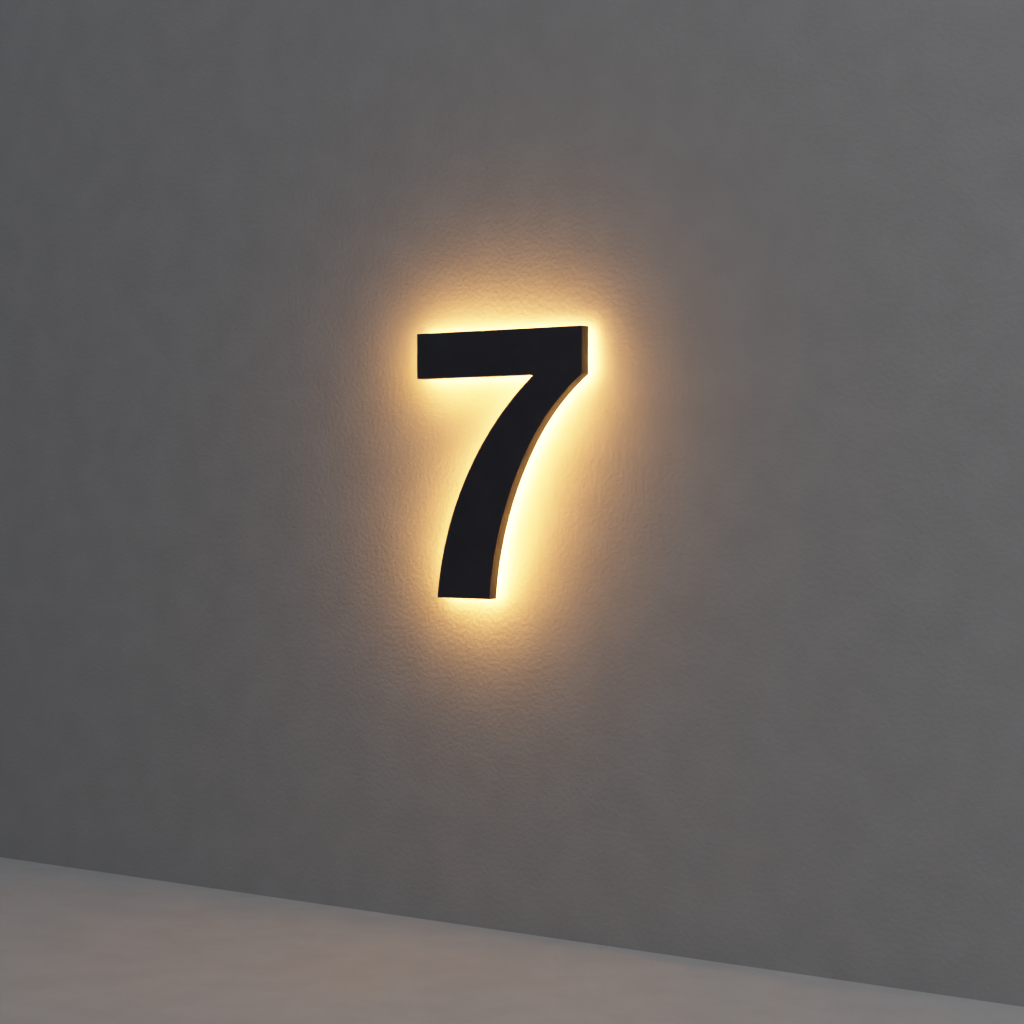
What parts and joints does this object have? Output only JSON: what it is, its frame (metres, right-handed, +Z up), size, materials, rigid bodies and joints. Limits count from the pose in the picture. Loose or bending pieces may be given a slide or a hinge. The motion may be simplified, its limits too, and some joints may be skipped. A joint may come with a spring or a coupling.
{
  "type": "illuminated house number sign",
  "caption": "Halo-lit metal house numeral seven: black face and return, opal lit back, LED chain inside, on wall studs with spacer sleeves.",
  "frame": {"origin": "where the axis of the foot stud meets the wall", "axes": "+Z up the numeral, +X to its right seen from the front, +Y into the wall; the wall is the plane Y = 0"},
  "size_m": [0.2608, 0.068, 0.35],
  "materials": {
    "black_coat": "satin black powder coat on 1.5 and 1.2 mm steel sheet",
    "opal_panel": "opal polycarbonate, lit warm white from inside",
    "white_plastic": "moulded white plastic",
    "board_white": "white solder resist on aluminium core",
    "clear_lens": "clear moulded lens",
    "lamp_yellow": "phosphor",
    "stainless": "plain stainless steel",
    "bare_aluminium": "satin, unpainted",
    "black_rubber": "matt",
    "natural_nylon": "natural nylon",
    "clamp_brass": "turned brass",
    "wire_red": "red wire insulation",
    "wire_black": "black wire insulation",
    "foam_grey": "grey foam tape"
  },
  "bodies": {
    "wall_fixings": {"spacer_sleeve_01": "bare_aluminium", "spacer_sleeve_02": "bare_aluminium", "spacer_sleeve_03": "bare_aluminium", "wall_pad_01": "black_rubber", "wall_pad_02": "black_rubber", "wall_pad_03": "black_rubber", "wall_stud_01": "stainless", "wall_stud_02": "stainless", "wall_stud_03": "stainless"},
    "numeral": {"back_panel": "opal_panel", "cable_grommet": "black_rubber", "face_plate": "black_coat", "fixing_tapes": "foam_grey", "led_board_01": "board_white", "led_board_02": "board_white", "led_board_03": "board_white", "led_board_04": "board_white", "led_board_05": "board_white", "led_board_06": "board_white", "led_board_07": "board_white", "led_board_08": "board_white", "led_board_09": "board_white", "led_board_10": "board_white", "led_emitters": "lamp_yellow", "led_housing_01": "white_plastic", "led_housing_02": "white_plastic", "led_housing_03": "white_plastic", "led_housing_04": "white_plastic", "led_housing_05": "white_plastic", "led_housing_06": "white_plastic", "led_housing_07": "white_plastic", "led_housing_08": "white_plastic", "led_housing_09": "white_plastic", "led_housing_10": "white_plastic", "led_optic_01": "clear_lens", "led_optic_02": "clear_lens", "led_optic_03": "clear_lens", "led_optic_04": "clear_lens", "led_optic_05": "clear_lens", "led_optic_06": "clear_lens", "led_optic_07": "clear_lens", "led_optic_08": "clear_lens", "led_optic_09": "clear_lens", "led_optic_10": "clear_lens", "link_wires_negative": "wire_black", "link_wires_positive": "wire_red", "panel_screws": "stainless", "panel_tabs": "bare_aluminium", "panel_washers": "natural_nylon", "return_bar": "black_coat", "return_stem": "black_coat", "socket_nuts": "natural_nylon", "socket_rings": "black_rubber", "stud_socket_01": "natural_nylon", "stud_socket_02": "natural_nylon", "stud_socket_03": "natural_nylon", "terminal_clamps": "clamp_brass", "terminal_housing": "white_plastic", "terminal_screws": "stainless"}
  },
  "joints": [
    {"name": "numeral_pull_off", "type": "slide", "parent": "wall_fixings", "child": "numeral", "axis": [0, -1, 0], "range_m": [0, 0.03]}
  ]
}
